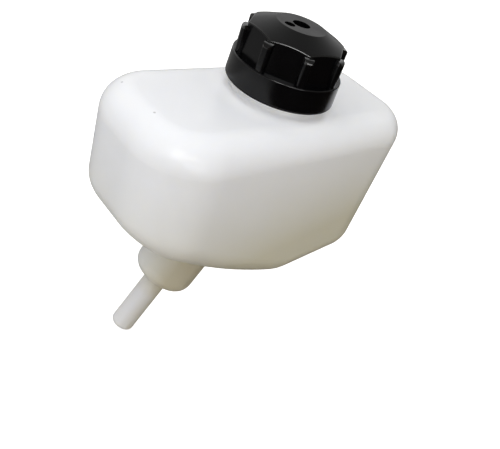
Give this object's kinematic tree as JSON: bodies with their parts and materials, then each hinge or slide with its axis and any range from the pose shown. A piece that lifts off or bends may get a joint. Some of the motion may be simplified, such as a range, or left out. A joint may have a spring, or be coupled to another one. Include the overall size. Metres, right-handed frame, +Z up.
{
  "type": "brake fluid reservoir",
  "caption": "Translucent wedge-shaped fluid tank with a sloping floor, a slanted hose outlet and a black vented screw cap, made to feed a hydraulic brake circuit.",
  "frame": {"origin": "on the flat back wall, straight behind the filler neck and half way down the wall's flat", "axes": "+Z up along the filler neck, +X along the tank towards its deep end, +Y out of the back wall into the panel that it is held against"},
  "size_m": [0.1219, 0.0554, 0.134],
  "materials": {
    "tank_plastic": "translucent milky white, satin",
    "cap_plastic": "black, semi-gloss, matt on top",
    "gasket_rubber": "matt black",
    "baffle_plastic": "natural grey-white"
  },
  "bodies": {
    "reservoir": {"tank": "tank_plastic"},
    "seal": {"cap_gasket": "gasket_rubber"},
    "cap": {"screw_cap": "cap_plastic", "splash_baffle": "baffle_plastic"}
  },
  "joints": [
    {"name": "cap_lift", "type": "slide", "parent": "reservoir", "child": "seal", "axis": [0, 0, 1], "range_m": [0, 0.007]},
    {"name": "cap_turn", "type": "hinge", "parent": "seal", "child": "cap", "pos_m": [0, -0.0277, 0.0446], "axis": [0, 0, 1], "range_deg": [0, 720]}
  ],
  "couplings": [
    {"joint": "cap_lift", "follows": "cap_turn", "m_per_rad": 0.000557}
  ]
}
